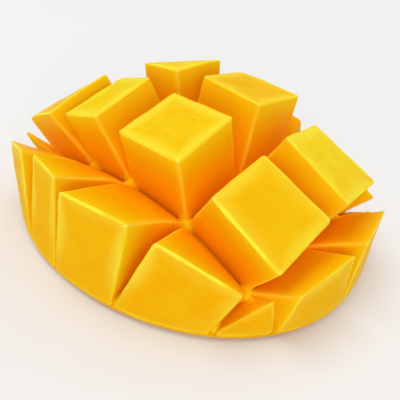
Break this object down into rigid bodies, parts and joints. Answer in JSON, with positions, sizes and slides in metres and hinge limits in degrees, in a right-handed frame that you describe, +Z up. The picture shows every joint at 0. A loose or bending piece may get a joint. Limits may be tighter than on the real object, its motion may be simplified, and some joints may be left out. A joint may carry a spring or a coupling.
{
  "type": "sliced mango",
  "caption": "Mango cheek scored in a grid and turned inside out, so that its blocks of flesh fan out over a hollow dome of peel.",
  "frame": {"origin": "middle of the part on the table that its rim stands on", "axes": "+X along the fruit, +Y across it towards the back row of blocks, +Z up"},
  "size_m": [0.0876, 0.0756, 0.0379],
  "materials": {
    "flesh": "moist"
  },
  "bodies": {
    "root": {"mango_cheek": "flesh"}
  },
  "joints": []
}
